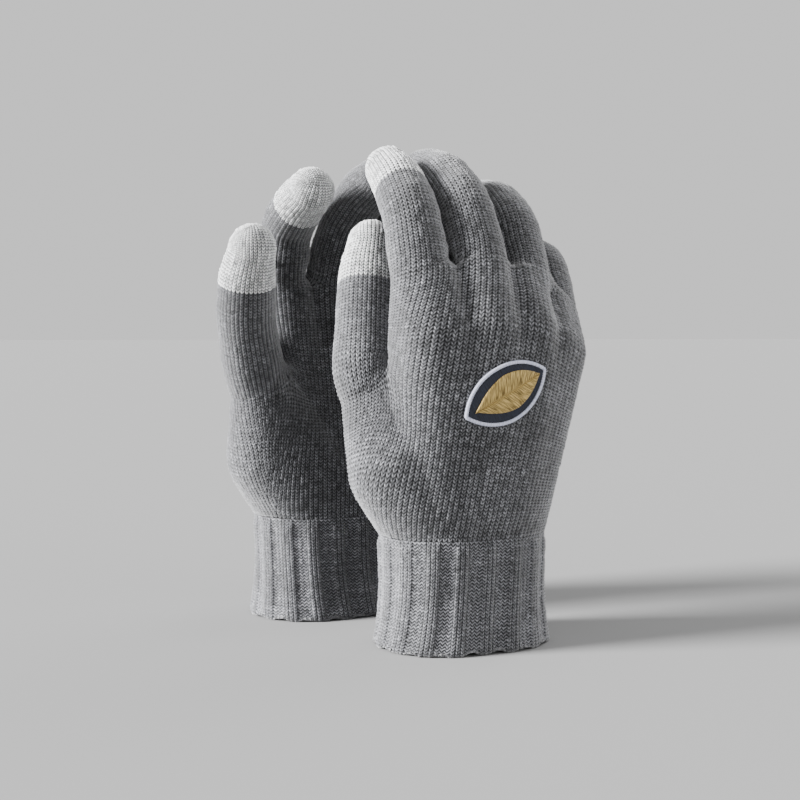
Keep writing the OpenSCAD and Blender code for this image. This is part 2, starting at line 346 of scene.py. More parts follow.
def near_root(p, digit):
    """1 below a stall's root, fading to 0 before the courses that keep the stall's own form."""
    _, (splay, lean, _), _, _ = DIGITS[digit]
    axis = (turn("y", splay) @ turn("x", -lean))[:, 2]
    return 1 - smooth((p - root_centre(digit)) @ axis / (SETTLE_ROWS * COURSE - 2))


def valleys(p):
    """How deep the fabric sinks in the valleys that run down the hand between the fingers."""
    depth = np.zeros(len(p))
    for a, b in zip(ORDER[1:], ORDER[2:]):
        high = (root_centre(a) + root_centre(b)) / 2
        low = (np.array(DIGITS[a][0]) + np.array(DIGITS[b][0])) / 2
        t = (p[:, 2] - low[2]) / (high[2] - low[2])
        x = low[0] + (high[0] - low[0]) * t
        grow = smooth((t + VALLEY_REACH) / (1 + VALLEY_REACH)) * smooth((1.35 - t) / 0.35)
        depth += VALLEY_DEPTH * grow * np.exp(-((p[:, 0] - x) / VALLEY_W) ** 2)
    return depth


def hand_field(p, paths):
    hulls = [hull_distance(p, planes) for planes in HULLS]
    palm = hulls[0][:2]
    for hull in hulls[1:3]:
        palm = soft_join(palm, hull[:2], PALM_FILLET)
    # a stall is filleted to its neighbours, not to the hull that it carries on
    inside = -np.min([hull[2] for hull in hulls[:3]], axis=0)
    for digit in ORDER[1:]:
        share = smooth(inside / 5) * near_root(p, digit)
        stall = tube_distance(p, paths[digit], STALL_REACH)
        palm = soft_join(palm, stall, FINGER_FILLET, share)
    stall = tube_distance(p, paths["thumb"], STALL_REACH)
    thumb = soft_join(hulls[3][:2], stall, OWN_FILLET)
    field = soft_join(palm, thumb, THUMB_FILLET, near_root(p, "thumb"))
    pinch = WRIST_PINCH * (1 - smooth((p[:, 2] - CUFF_H) / 12))
    return field[0] + valleys(p) + pinch, field[1]


# ---- the net of stitches --------------------------------------------------------------

def halves(digit):
    return WALES[digit] // 2 - CROTCH


def gusset_start(column):
    """The course where this wale of the thumb's back or palm starts, counted from its edge."""
    return 2 + int(2.2 * ((column * 7 + 3) % halves("thumb")))


def column_start(digit, line):
    """The first course of the wale that follows this line."""
    a, b = halves(digit), CROTCH
    root = HAND_ROWS[digit]
    if line < a:
        return gusset_start(line) if digit == "thumb" else 0
    if line < a + b:
        return 0 if digit == "little" else root
    if line < 2 * a + b:
        return gusset_start(2 * a + b - 1 - line) if digit == "thumb" else 0
    if digit == "thumb":
        return 0
    return HAND_ROWS["thumb"] if digit == "index" else root


def same_point(digit, line, row):
    """The one name of a net point that neighbouring stalls and wales share."""
    line %= WALES[digit]
    a, b = halves(digit), CROTCH
    if row > HAND_ROWS[digit]:
        return digit, line, row
    if digit == "thumb":
        while line < a and column_start("thumb", line) >= row:
            line += 1
        while a + b < line <= 2 * a + b and column_start("thumb", line - 1) >= row:
            line -= 1
    if digit != "little" and a <= line <= a + b:
        following = ORDER[ORDER.index(digit) + 1]
        step = line - a
        if step in (0, b) or row == HAND_ROWS[digit]:
            return same_point(following, WALES[following] - step, row)
    return digit, line, row


def rows_up(path):
    """Courses from a stall's root to its closing seam."""
    tube = max(int(round(path["marks"][-1] / COURSE)), 1)
    return tube + int(round(path["r"][-1] * math.pi / 2 / COURSE))


def glove_net(side):
    """The net of a glove's hand and stalls: points, a lookup from (digit, line, row), cells."""
    paths = {d: digit_path(side, d) for d in ORDER}
    rings = {d: stall_rings(paths[d], d, rows_up(paths[d])) for d in ORDER}
    top = {d: HAND_ROWS[d] + rows_up(paths[d]) for d in ORDER}

    wrist, lines = {}, []
    thumb_edge = 2 * halves("thumb") + CROTCH
    lines += [("thumb", thumb_edge + i) for i in range(CROTCH)]
    for d in ORDER[1:]:
        lines += [(d, i) for i in range(halves(d))]
    lines += [("little", halves("little") + i) for i in range(CROTCH)]
    for d in reversed(ORDER[1:]):
        lines += [(d, halves(d) + CROTCH + i) for i in range(halves(d))]
    for i, (d, line) in enumerate(lines):
        wrist[same_point(d, line, 0)] = pinched(wrist_point((i - CROTCH / 2 - TWIST) / len(lines)))

    index, total, count, fixed = {}, [], [], []

    def add(name, p, hold):
        if name not in index:
            index[name] = len(total)
            total.append(np.zeros(3))
            count.append(0)
            fixed.append(False)
        k = index[name]
        total[k] = total[k] + p
        count[k] += 1
        fixed[k] = fixed[k] or hold

    for d in ORDER:
        ring, _ = rings[d]
        root = HAND_ROWS[d]
        for line in range(WALES[d]):
            first = min(column_start(d, line), column_start(d, (line - 1) % WALES[d]))
            for row in range(first, top[d] + 1):
                name = same_point(d, line, row)
                if row >= root:
                    p = ring[row - root][line]
                elif first > 0 and d == "index":
                    low = rings["thumb"][0][0][halves("thumb") + WALES[d] - line]
                    t = (row - first) / (root - first)
                    p = low * (1 - t) + ring[0][line] * t
                else:
                    foot = wrist.get(same_point(d, line, 0), (0, 0))
                    t = row / root
                    p = np.array([*foot, CUFF_H]) * (1 - t) + ring[0][line] * t
                add(name, p, row == 0 or row > root + SETTLE_ROWS)
    points = np.array(total) / np.array(count)[:, None]
    fixed = np.array(fixed)

    cells, tags = [], []
    for d in ORDER:
        for line in range(WALES[d]):
            for row in range(column_start(d, line), top[d]):
                corner = [same_point(d, line, row), same_point(d, line + 1, row),
                          same_point(d, line + 1, row + 1), same_point(d, line, row + 1)]
                cells.append([index[c] for c in corner])
                tags.append((d, line, row))
    cells = np.array(cells)
    points = settle(points, cells, fixed, paths)
    return {"points": points, "index": index, "cells": cells, "paths": paths, "top": top,
            "tube_rows": {d: rings[d][1] for d in ORDER}}


def settle(points, cells, fixed, paths):
    """Evens out the net over the hand's form, as a knit does when it is worn."""
    edges = np.vstack([cells[:, [0, 1]], cells[:, [1, 2]], cells[:, [2, 3]], cells[:, [3, 0]]])
    edges = np.unique(np.sort(edges, axis=1), axis=0)
    edges = edges[edges[:, 0] != edges[:, 1]]
    free = ~fixed
    touched = free[edges[:, 0]] | free[edges[:, 1]]
    a, b = edges[touched].T
    weight = np.bincount(a, minlength=len(points)) + np.bincount(b, minlength=len(points))
    who = np.flatnonzero(free)
    for step in range(SETTLE_STEPS):
        # most steps only even the net out; some, and the last few, lay it on the form
        mean = np.zeros_like(points)
        for k in range(3):
            mean[:, k] = (np.bincount(a, points[b, k], len(points))
                          + np.bincount(b, points[a, k], len(points)))
        mean /= np.maximum(weight, 1)[:, None]
        p = points[who] * (1 - SETTLE_PULL) + mean[who] * SETTLE_PULL
        if step % 3 == 2 or step > SETTLE_STEPS - 4:
            d, g = hand_field(p, paths)
            p = p - d[:, None] * g
        points[who] = p
    return points


def net_normals(points, cells):
    n = np.cross(points[cells[:, 2]] - points[cells[:, 0]],
                 points[cells[:, 3]] - points[cells[:, 1]])
    out = np.zeros_like(points)
    for k in range(4):
        for axis in range(3):
            out[:, axis] += np.bincount(cells[:, k], n[:, axis], len(points))
    return unit(out)


# ---- stitches -------------------------------------------------------------------------

# Five mesh lines across a wale: how far each is shifted up, and its height at the notch and at
# the crown of a stitch, in shares of YARN_H; the same heights drive the yarn's painted shade,
# dark at the notches and light at the crowns
PLAIN_SHIFT = (0.84, 0.46, 0.0, 0.46, 0.84)
PLAIN_HEIGHT = ((-1.7, -0.7), (-0.1, 1.0), (-0.9, 0.3), (-0.1, 1.0), (-1.7, -0.7))
PURL_SHIFT = (0.7, 0.38, 0.0, 0.38, 0.7)
PURL_HEIGHT = ((-1.5, 1.2), (-1.3, 0.7), (-0.9, 1.2), (-1.3, 0.7), (-1.5, 1.2))


def at_rows(values, rows):
    low = np.floor(rows).astype(int)
    low = np.clip(low, 0, len(values) - 2)
    t = (rows - low)[:, None]
    return values[low] * (1 - t) + values[low + 1] * t


def wale_mesh(left, right, normal_left, normal_right, purl=False, lift=None, swell=None):
    """Mesh lines of one wale between two lines of net points: points, the heights that the yarn's
    painted shade is made from, and rows.
    """
    count = len(left) - 1
    shifts = PURL_SHIFT if purl else PLAIN_SHIFT
    heights = PURL_HEIGHT if purl else PLAIN_HEIGHT
    out, shade, at = [], [], []
    base = np.arange(2 * count + 1) / 2
    for k in range(SUB + 1):
        u = k / SUB
        rows = np.clip(base + shifts[k] - 0.3, 0, count)
        rows[0], rows[-1] = 0, count
        p = at_rows(left, rows) * (1 - u) + at_rows(right, rows) * u
        n = unit(at_rows(normal_left, rows) * (1 - u) + at_rows(normal_right, rows) * u)
        h = np.where(np.arange(2 * count + 1) % 2 == 0, heights[k][0], heights[k][1])
        if swell is not None and 0 < k < SUB:
            h = h + at_rows(swell[:, None], rows)[:, 0] * 0.5
        d = h * YARN_H
        if lift is not None:
            d = d + at_rows(lift[:, k][:, None], rows)[:, 0]
        out.append(p + n * d[:, None])
        shade.append(h)
        at.append(rows)
    return np.array(out), np.array(shade), np.array(at)


class Knit:
    """Collects wales and makes one mesh object of them."""

    def __init__(self):
        self.points, self.quads, self.shade, self.uv, self.size = [], [], [], [], 0

    def add(self, lines, shade, rows, column, first_row, keep):
        """keep says which courses, counted from the wale's first, belong to this piece."""
        across, up = lines.shape[:2]
        ids = np.arange(across * up).reshape(across, up) + self.size
        j = np.arange(up - 1)
        j = j[keep(first_row + j // 2)]
        if not len(j):
            return
        for k in range(across - 1):
            quad = np.stack([ids[k, j], ids[k + 1, j], ids[k + 1, j + 1], ids[k, j + 1]], 1)
            self.quads.append(quad)
            u = np.stack([np.full(len(j), column + x / SUB) for x in (k, k + 1, k + 1, k)], 1)
            v = np.stack([rows[k, j], rows[k + 1, j], rows[k + 1, j + 1], rows[k, j + 1]], 1)
            self.uv.append(np.stack([u, v + first_row], 2))
        self.points.append(lines.reshape(-1, 3))
        self.shade.append(shade.reshape(-1))
        self.size += across * up

    def build(self, name, side, material):
        points = place(side, np.vstack(self.points))
        quads, uv = np.vstack(self.quads), np.vstack(self.uv)
        shade = np.concatenate(self.shade)
        used, back = np.unique(quads, return_inverse=True)
        quads = back.reshape(quads.shape)
        points, shade = points[used], shade[used]
        _, first, back = np.unique(np.round(points / 4e-6).astype(np.int64), axis=0,
                                   return_index=True, return_inverse=True)
        quads = back.reshape(-1)[quads]
        points, shade = points[first], shade[first]
        if side == "left":
            quads, uv = quads[:, ::-1], uv[:, ::-1]
        return mesh_object(name, points, quads, material, shade=shade, uv=uv)


def mesh_object(name, points, quads, material, shade=None, uv=None):
    """A smooth-shaded mesh of quads; a quad that repeats a point becomes a triangle."""
    corner_uv = []
    repeats = quads == np.roll(quads, -1, axis=1)
    plain = ~repeats.any(1)
    faces = quads[plain].tolist()
    if uv is not None:
        corner_uv = [uv[plain].reshape(-1, 2)]
    for i in np.flatnonzero(~plain):
        keep = ~repeats[i]
        if len(set(quads[i][keep])) >= 3:
            faces.append(quads[i][keep].tolist())
            if uv is not None:
                corner_uv.append(uv[i][keep])
    mesh = bpy.data.meshes.new(name)
    mesh.from_pydata(points.tolist(), [], faces)
    mesh.polygons.foreach_set("use_smooth", [True] * len(mesh.polygons))
    if uv is not None:
        layer = mesh.uv_layers.new(name="stitches")
        layer.data.foreach_set("uv", np.vstack(corner_uv).astype(np.float32).ravel())
    # the stitches' heights, which the yarn material turns into painted shade in the grooves and
    # painted highlight on the crowns
    if shade is not None:
        attribute = mesh.attributes.new("relief_painted_shade", "FLOAT", "POINT")
        attribute.data.foreach_set("value", shade.astype(np.float32))
    mesh.validate()
    mesh.materials.append(material)
    obj = bpy.data.objects.new(name, mesh)
    bpy.context.scene.collection.objects.link(obj)
    return obj


# ---- placing --------------------------------------------------------------------------

def wrist_origin(side):
    low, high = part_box(f"{side}_cuff")
    return np.array([(low[0] + high[0]) / 2, (low[1] + high[1]) / 2, 0.0])


def place(side, p):
    """Points of a glove's own frame, in mm, as points of the pair's frame, in metres."""
    q = np.array(p, float) * MM
    if side == "left":
        q = q * (1, -1, 1)
    spin = turn("z", -TOE_IN if side == "right" else TOE_IN)
    return q @ spin.T + wrist_origin(side)


def joint_of(name):
    return next(j for j in frame["joints"] if j["name"] == name)


# ---- materials ------------------------------------------------------------------------

def shader(name, roughness=0.9, sheen=0.0, tint=(1, 1, 1)):
    material = bpy.data.materials.new(name)
    material.use_nodes = True
    nodes, links = material.node_tree.nodes, material.node_tree.links
    nodes.clear()
    out = nodes.new("ShaderNodeOutputMaterial")
    bsdf = nodes.new("ShaderNodeBsdfPrincipled")
    links.new(bsdf.outputs[0], out.inputs[0])
    bsdf.inputs["Roughness"].default_value = roughness
    bsdf.inputs["Specular IOR Level"].default_value = 0.25
    bsdf.inputs["Sheen Weight"].default_value = sheen
    bsdf.inputs["Sheen Roughness"].default_value = 0.5
    bsdf.inputs["Sheen Tint"].default_value = (*tint, 1)
    return material, nodes, links, bsdf


def noise(nodes, links, vector, scale, detail=3.0, roughness=0.6):
    n = nodes.new("ShaderNodeTexNoise")
    n.inputs["Scale"].default_value = scale
    n.inputs["Detail"].default_value = detail
    n.inputs["Roughness"].default_value = roughness
    links.new(vector, n.inputs["Vector"])
    return n.outputs["Fac"]


def ramp(nodes, links, value, stops):
    r = nodes.new("ShaderNodeValToRGB")
    while len(r.color_ramp.elements) < len(stops):
        r.color_ramp.elements.new(0.5)
    for element, (at, colour) in zip(r.color_ramp.elements, stops):
        element.position = at
        element.color = (*colour, 1) if len(colour) == 3 else colour
    links.new(value, r.inputs[0])
    return r.outputs[0]


def mixed(nodes, links, kind, a, b, factor):
    m = nodes.new("ShaderNodeMix")
    m.data_type = "RGBA"
    m.blend_type = kind
    if isinstance(factor, float):
        m.inputs[0].default_value = factor
    else:
        links.new(factor, m.inputs[0])
    links.new(a, m.inputs[6])
    links.new(b, m.inputs[7])
    return m.outputs[2]


def stretched(nodes, links, vector, scale, detail, roughness=0.6):
    """Noise with its own scale along each axis of vector."""
    m = nodes.new("ShaderNodeMapping")
    m.inputs["Scale"].default_value = scale
    links.new(vector, m.inputs["Vector"])
    return noise(nodes, links, m.outputs[0], 1.0, detail, roughness)


def stitch_uv(nodes):
    uv = nodes.new("ShaderNodeUVMap")
    uv.uv_map = "stitches"
    return uv.outputs[0]


def bumped(nodes, links, bsdf, height, strength, distance):
    bump = nodes.new("ShaderNodeBump")
    bump.inputs["Strength"].default_value = strength
    bump.inputs["Distance"].default_value = distance * MM
    links.new(height, bump.inputs["Height"])
    links.new(bump.outputs[0], bsdf.inputs["Normal"])


def grey(v, blue=1.06):
    return (v * 0.975, v * 0.985, v * blue)


def arithmetic(nodes, links, kind, a, b=None, c=None):
    m = nodes.new("ShaderNodeMath")
    m.operation = kind
    for socket, value in zip(m.inputs, (a, b, c)):
        if isinstance(value, (int, float)):
            socket.default_value = value
        elif value is not None:
            links.new(value, socket)
    return m.outputs[0]


TONE_SHIFT = -0.175        # brings the middle of the summed noises to 0.5
# stitch heights that span the ramp of painted groove shade and painted crown highlight
RELIEF_RANGE = (-1.3, 0.9)


def painted_stitch_gap_shade(nodes, links, uv):
    """Painted shade between one stitch's V and the next and painted highlight across the V, at the
    same places as in the mesh.
    """
    split = nodes.new("ShaderNodeSeparateXYZ")
    links.new(uv, split.inputs[0])
    slack = stretched(nodes, links, uv, (0.9, 0.45, 1), 2)
    across = arithmetic(nodes, links, "FRACT", split.outputs[0])
    edge = arithmetic(nodes, links, "MULTIPLY_ADD", across, 2.0, -1.0)
    edge = arithmetic(nodes, links, "ABSOLUTE", edge)
    row = arithmetic(nodes, links, "MULTIPLY_ADD", edge, -PLAIN_SHIFT[0], split.outputs[1])
    row = arithmetic(nodes, links, "MULTIPLY_ADD", slack, 1.5, row)
    row = arithmetic(nodes, links, "MULTIPLY_ADD", row, 2 * math.pi, -0.9 * math.pi)
    wave = arithmetic(nodes, links, "COSINE", row)
    wave = arithmetic(nodes, links, "MULTIPLY_ADD", wave, 0.5, 0.5)
    return ramp(nodes, links, wave, [(0.0, (1.25,) * 3), (0.5, (1.0,) * 3), (1.0, (0.36,) * 3)])


def yarn_material(name, dark, middle, light, contrast=1.0, sheen=0.6):
    """Marl yarn: long streaks along the courses, a change of tone in each stitch, and fibres
    lying along and across the yarn, with painted shade in the stitches' grooves and gaps and
    painted highlight on their crowns."""
    material, nodes, links, bsdf = shader(name, 0.92, sheen)
    uv = stitch_uv(nodes)
    place_at = nodes.new("ShaderNodeTexCoord").outputs["Object"]
    streak = stretched(nodes, links, uv, (0.13, 0.9, 1), 4)
    fleck = stretched(nodes, links, uv, (1.3, 1.7, 1), 3)
    fibre = noise(nodes, links, place_at, 2600, 2, 0.7)
    cloud = noise(nodes, links, place_at, 45, 2)
    tone = TONE_SHIFT
    for part, weight in ((cloud, 0.2), (fibre, 0.4), (fleck, 0.5), (streak, 0.25)):
        tone = arithmetic(nodes, links, "MULTIPLY_ADD", part, weight, tone)
    spread = 0.13 / contrast
    colour = ramp(nodes, links, tone,
                  [(0.5 - 2 * spread, dark), (0.5, middle), (0.5 + 2 * spread, light)])
    # painted shade: the colour is darkened where the stitch heights are low, in the grooves, and
    # lightened on the crowns as a painted highlight
    relief_painted_shade = nodes.new("ShaderNodeAttribute")
    relief_painted_shade.attribute_name = "relief_painted_shade"
    shade = nodes.new("ShaderNodeMapRange")
    shade.inputs["From Min"].default_value, shade.inputs["From Max"].default_value = RELIEF_RANGE
    links.new(relief_painted_shade.outputs["Fac"], shade.inputs["Value"])
    depth = ramp(nodes, links, shade.outputs[0],
                 [(0.0, (0.05,) * 3), (0.45, (0.42,) * 3), (1.0, (1.4,) * 3)])
    colour = mixed(nodes, links, "MULTIPLY", colour, depth, 1.0)
    # painted shade in the gaps between stitches, painted highlight across them
    colour = mixed(nodes, links, "MULTIPLY", colour, painted_stitch_gap_shade(nodes, links, uv), 1.0)
    links.new(colour, bsdf.inputs["Base Color"])
    strand = stretched(nodes, links, uv, (9, 3.4, 1), 3, 0.7)
    height = arithmetic(nodes, links, "ADD", strand, fibre)
    bumped(nodes, links, bsdf, height, 0.55, 0.25)
    return material


def thread_material(name, dark, light, pitch, sheen=0.2, roughness=0.45):
    """Embroidery thread: fine parallel strands across the object's first texture axis."""
    material, nodes, links, bsdf = shader(name, roughness, sheen)
    uv = stitch_uv(nodes)
    strands = stretched(nodes, links, uv, (0.25, 1 / pitch, 1), 2)
    grain = stretched(nodes, links, uv, (0.5, 3.2 / pitch, 1), 2)
    colour = ramp(nodes, links, strands, [(0.36, dark), (0.64, light)])
    links.new(colour, bsdf.inputs["Base Color"])
    bumped(nodes, links, bsdf, grain, 0.5, 0.2)
    return material


# ---- pieces ---------------------------------------------------------------------------

def strip(net, digit, line):
    """Net points up both edges of one wale, and its first course."""
    index, points = net["index"], net["points"]
    first, top = column_start(digit, line), net["top"][digit]
    left = [index[same_point(digit, line, r)] for r in range(first, top + 1)]
    right = [index[same_point(digit, line + 1, r)] for r in range(first, top + 1)]
    n = net["normals"]
    return points[left], points[right], n[left], n[right], first


def knit_glove(side, yarn, light_yarn, rng):
    net = glove_net(side)
    net["normals"] = net_normals(net["points"], net["cells"])
    hand = Knit()
    stalls = {}
    column = 0
    for digit in ORDER:
        root, marks = HAND_ROWS[digit], net["paths"][digit]["marks"]
        scale = net["tube_rows"][digit] / marks[-1]
        split = root + int(round((marks[1] + marks[2]) / 2 * scale))
        cap = root + int(round(marks[4] * scale)) + TIP_STARTS.get((side, digit), 0)
        capped = digit in ("thumb", "index")
        low, high, tip = Knit(), Knit(), Knit()
        for line in range(WALES[digit]):
            left, right, nl, nr, first = strip(net, digit, line)
            swell = rng.normal(0, 0.6, len(left))
            lines, shade, rows = wale_mesh(left, right, nl, nr, swell=swell)
            hand.add(lines, shade, rows, column, first, lambda r: r < root)
            low.add(lines, shade, rows, column, first, lambda r: (r >= root) & (r < split))
            high.add(lines, shade, rows, column, first,
                     lambda r: (r >= split) & ((r < cap) if capped else True))
            if capped:
                tip.add(lines, shade, rows, column, first, lambda r: r >= cap)
            column += 1
        column += MARL_GAP
        stalls[digit] = (low, high, tip if capped else None)
    body = f"{side}_glove"
    obj = hand.build(f"{side}_hand_knit", side, yarn)
    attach(obj, body)
    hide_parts(f"{side}_hand")
    for digit, (low, high, tip) in stalls.items():
        path = net["paths"][digit]
        lower, upper = f"{side}_{digit}_lower", f"{side}_{digit}_upper"
        obj = low.build(f"{side}_{digit}_lower_knit", side, yarn)
        bend = (path["marks"][0] + ROOT_HELD, path["marks"][1] + ROOT_HELD / 2)
        ends = [place(side, ring_frame(path, s)[0]) for s in bend]
        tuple(ends[0])
        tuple(ends[1])
        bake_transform(obj)
        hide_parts(f"{side}_{digit}_root_fold", lower)
        obj = high.build(f"{side}_{digit}_upper_knit", side, yarn)
        ends = [place(side, ring_frame(path, s)[0]) for s in path["marks"][2:4]]
        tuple(ends[0])
        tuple(ends[1])
        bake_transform(obj)
        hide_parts(f"{side}_{digit}_middle_fold", upper)
        if tip:
            obj = tip.build(f"{side}_{digit}_tip_knit", side, light_yarn)
            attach(obj, upper)
            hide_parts(f"{side}_{digit}_tip")
    return net


def cuff_offset(height):
    """How far the cuff's outer layer stands off the wrist's outline."""
    t = np.clip(1 - height / CUFF_H, 0, 1)
    return CUFF_STAND + CUFF_FLARE * t**4 - CUFF_WAIST * np.sin(math.pi * t)


def wale_drift(height):
    """Wales by which the ribs have turned round the cuff at a height."""
    return DRIFT_TOP - DRIFT * np.clip(1 - height / CUFF_H, 0, 1) ** 2


def rib_lift(wale):
    """How far the fabric stands off, as it waves from knit wales to purl wales."""
    return (np.clip(np.sin(np.asarray(wale) / RIB_REPEAT * 2 * math.pi) * 1.5, -1, 1) - 0.6) * 0.7


def knit_cuff(side, yarn, rng):
    """The ribbed cuff, turned in at the rim: three knit wales, then three purl."""
    rows = int(round(CUFF_H / COURSE))
    inner = rows - HEM_SHORT_ROWS
    profile = []
    for i in range(inner):
        profile.append((-2 * RIM_R, RIM_R + (CUFF_H - HEM_SHORT) * (1 - i / inner)))
    for a in (30, 90, 150):
        r = math.radians(a)
        profile.append((-RIM_R - RIM_R * math.cos(r), RIM_R - RIM_R * math.sin(r)))
    for i in range(rows + 1):
        profile.append((0.0, RIM_R + (CUFF_H - RIM_R) * i / rows))
    profile = np.array(profile)
    offset, height = profile[:, 0], profile[:, 1]
    offset = offset + cuff_offset(height)
    # the ribs die out into the hand over the last few courses
    outside = np.arange(len(profile)) >= inner
    below_hand = (CUFF_H - height) / RIB_END
    offset = offset - np.where(outside, 0.85 * (1 - smooth(below_hand)), 0)
    grid = np.zeros((RIB_WALES, len(profile), 3))
    fraction = np.arange(RIB_WALES)[:, None] + wale_drift(height)[None]
    step = 0.2 / RIB_WALES
    for i in range(RIB_WALES):
        for k in range(len(profile)):
            f = fraction[i, k] / RIB_WALES
            p = wrist_point(f)
            along = unit(wrist_point(f + step) - wrist_point(f - step))
            grid[i, k, :2] = p + np.array([along[1], -along[0]]) * offset[k]
            grid[i, k, 2] = height[k]
    rim = np.exp(-height / 3.0)
    wave = rng.normal(0, 0.45, RIB_WALES)
    wave = np.abs((np.roll(wave, 1) + 2 * wave + np.roll(wave, -1)) / 3)
    purl_up = 0.5 * (np.arange(RIB_WALES) % RIB_REPEAT >= RIB_REPEAT / 2)
    grid[:, :, 2] += (wave + purl_up)[:, None] * rim[None]
    along = np.gradient(grid, axis=1)
    around = np.roll(grid, -1, 0) - np.roll(grid, 1, 0)
    normal = unit(np.cross(around, along))
    knit = Knit()
    fade = np.clip(height / 3, 0.35, 1) * np.where(outside, smooth(below_hand + 0.1), 1)
    sign = np.where(outside, 1.0, -1.0)
    for i in range(RIB_WALES):
        j = (i + 1) % RIB_WALES
        lift = rib_lift(np.arange(SUB + 1) / SUB + i)[None] * (fade * sign)[:, None]
        purl = i % RIB_REPEAT >= RIB_REPEAT / 2
        swell = rng.normal(0, 0.5, len(profile))
        lines, shade, at = wale_mesh(grid[i], grid[j], normal[i], normal[j], purl, lift, swell)
        # painted shade lifted: the cuff's stitches are painted lighter than their heights give, the
        # purl wales more than the knit wales
        knit.add(lines, shade + (0.3 if purl else 0.1), at, i, 0, lambda r: r >= 0)
    obj = knit.build(f"{side}_cuff_knit", side, yarn)
    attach(obj, f"{side}_glove")
    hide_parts(f"{side}_cuff")


def leaf_edge(t, length, width):
    """Half width of the pointed oval at t from -1 to 1 along it."""
    r = (length**2 + width**2) / (4 * width)
    return np.sqrt(np.maximum(r**2 - (t * length / 2) ** 2, 0)) - (r - width / 2)


def on_patch(net, flat, lift):
    """Points given on the patch's own plane, laid on the knitted back, lift above it."""
    flat = np.atleast_2d(np.asarray(flat, float))
    m = turn("z", PATCH_TURN) @ turn("x", 90 + PATCH_LEAN) @ turn("z", LEAF_TILT)
    p = np.array([PATCH_AT[0], PATCH_Y, PATCH_AT[1]]) + flat @ m[:, :2].T
    out = m[:, 2]
    for _ in range(6):
        d, g = hand_field(p, net["paths"])
        p = p - out * ((d - lift) / np.maximum(g @ out, 0.3))[:, None]
    return p


def grid_quads(rows, closed=False):
    """The quads of a grid of points, row by row; closed joins the ends of each row."""
    m, n = len(rows), len(rows[0])
    ids = np.arange(m * n).reshape(m, n)
    a = ids if closed else ids[:, :-1]
    b = np.roll(ids, -1, 1) if closed else ids[:, 1:]
    return np.stack([a[:-1], b[:-1], b[1:], a[1:]], -1).reshape(-1, 4)


def grid_piece(name, side, rows, uv, material, closed=False):
    """A mesh from rows of points, each as long as the last."""
    rows = np.array(rows)
    quads = grid_quads(rows, closed)
    corner = np.asarray(uv).reshape(-1, 2)[quads]
    points = place(side, rows.reshape(-1, 3))
    if side == "left":
        quads, corner = quads[:, ::-1], corner[:, ::-1]
    return mesh_object(name, points, quads, material, uv=corner)


def patch(side, net, border, ground, leaf):
    body = f"{side}_glove"
    # ground: dense rows of stitching across the leaf
    length, width = LEAF_L + GROUND_EXTRA, LEAF_W + GROUND_EXTRA
    ts, us = np.linspace(-0.995, 0.995, 120), np.linspace(-1, 1, 25)
    rows, uv = [], []
    for i, t in enumerate(ts):
        half = leaf_edge(t, length, width)
        flat = np.stack([np.full(len(us), t * length / 2), us * half], 1)
        ridge = 0.12 * math.cos(i * math.pi)
        rows.append(on_patch(net, flat, GROUND_LIFT + ridge))
        uv.append(np.stack([us * half, np.full(len(us), t * length / 2)], 1))
    obj = grid_piece(f"{side}_patch_ground_stitching", side, rows, uv, ground)
    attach(obj, body)
    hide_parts(f"{side}_patch_ground")

    # leaf: slanted satin stitches either side of the midrib
    rows, uv = [], []
    us = np.linspace(-1, 1, 41)
    for i, t in enumerate(np.linspace(-0.985, 0.985, 150)):
        half = leaf_edge(t, LEAF_L, LEAF_W)
        slant = 4.2 * np.abs(us) * (1 - t * t) ** 0.5
        x = t * LEAF_L / 2 + slant - 1.2 * (1 - t * t)
        x = np.clip(x, -LEAF_L / 2, LEAF_L / 2)
        y = us * np.minimum(half, leaf_edge(np.clip(x / (LEAF_L / 2), -1, 1), LEAF_L, LEAF_W))
        dome = 1.0 * np.sqrt(np.maximum(1 - us**2, 0)) - 0.75 * np.exp(-(us / 0.07) ** 2)
        ridge = 0.09 * (1 if i % 2 else -1)
        rows.append(on_patch(net, np.stack([x, y], 1), LEAF_LIFT + dome + ridge))
        uv.append(np.stack([us * half + 40 * np.sign(us), np.full(len(us), t * LEAF_L / 2)], 1))
    obj = grid_piece(f"{side}_patch_leaf_stitching", side, rows, uv, leaf)
    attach(obj, body)
    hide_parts(f"{side}_patch_leaf")

    # border: overlocked edge, a cord wound with thread
    length, width = LEAF_L + BORDER_EXTRA, LEAF_W + BORDER_EXTRA
    t = np.sin(np.linspace(-math.pi / 2, math.pi / 2, 90))
    upper = np.stack([t * length / 2, leaf_edge(t, length, width)], 1)
    lower = np.stack([t[::-1][1:-1] * length / 2, -leaf_edge(t[::-1][1:-1], length, width)], 1)
    loop = np.vstack([upper, lower])
    step = np.linalg.norm(np.roll(loop, -1, 0) - loop, axis=1)
    total = step.sum()
    s = np.concatenate([[0], np.cumsum(step)])
    even = np.linspace(0, total, BORDER_STEPS, endpoint=False)
    closed = np.vstack([loop, loop[:1]])
    path = np.stack([np.interp(even, s, closed[:, 0]), np.interp(even, s, closed[:, 1])], 1)
    for _ in range(3):
        path = (np.roll(path, 1, 0) + 2 * path + np.roll(path, -1, 0)) / 4
    tangent = unit(np.roll(path, -1, 0) - np.roll(path, 1, 0))
    outward = np.stack([-tangent[:, 1], tangent[:, 0]], 1)
    rows, uv = [], []
    around = np.linspace(0, 2 * math.pi, 12, endpoint=False)
    for i in range(BORDER_STEPS + 1):
        k = i % BORDER_STEPS
        r = BORDER_R + BORDER_WIND * (1 if k % 2 else -1)
        flat = path[k] + outward[k] * (np.cos(around) * r)[:, None]
        rows.append(on_patch(net, flat, BORDER_LIFT + np.sin(around) * r * 0.75))
        uv.append(np.stack([around * 0.6, np.full(len(around), i * total / BORDER_STEPS)], 1))
    obj = grid_piece(f"{side}_patch_border_stitching", side, rows, uv, border, closed=True)
    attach(obj, body)
    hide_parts(f"{side}_patch_border")


